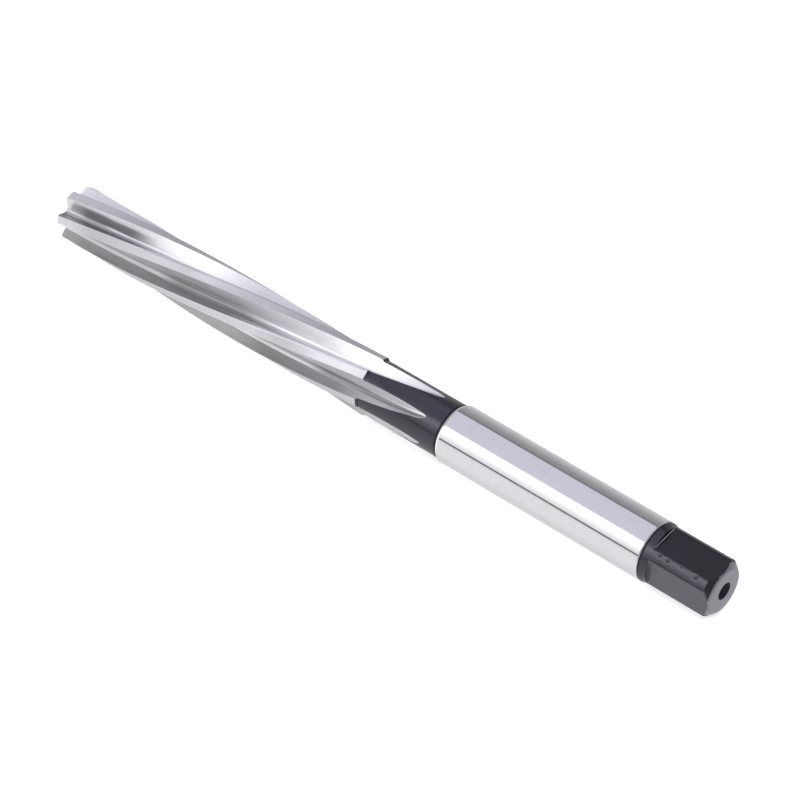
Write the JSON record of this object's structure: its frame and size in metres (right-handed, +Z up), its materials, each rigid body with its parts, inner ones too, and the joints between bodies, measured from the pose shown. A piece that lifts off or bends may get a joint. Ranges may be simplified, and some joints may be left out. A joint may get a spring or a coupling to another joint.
{
  "type": "hand reamer",
  "caption": "Hand reamer: helical fluted cutting part with a tapered lead, blackened neck, ground round shank and square driving end with centre holes.",
  "frame": {"origin": "on the surface that the reamer lies on, under the middle of its length", "axes": "+X along the tool from the cutting tip to the driving square, +Z up, with two flats of the square level"},
  "size_m": [0.133, 0.01, 0.01],
  "materials": {
    "ground_steel": "ground bright on teeth, flutes and shank, black oxide on neck and square"
  },
  "bodies": {
    "root": {"hand_reamer": "ground_steel"}
  },
  "joints": []
}
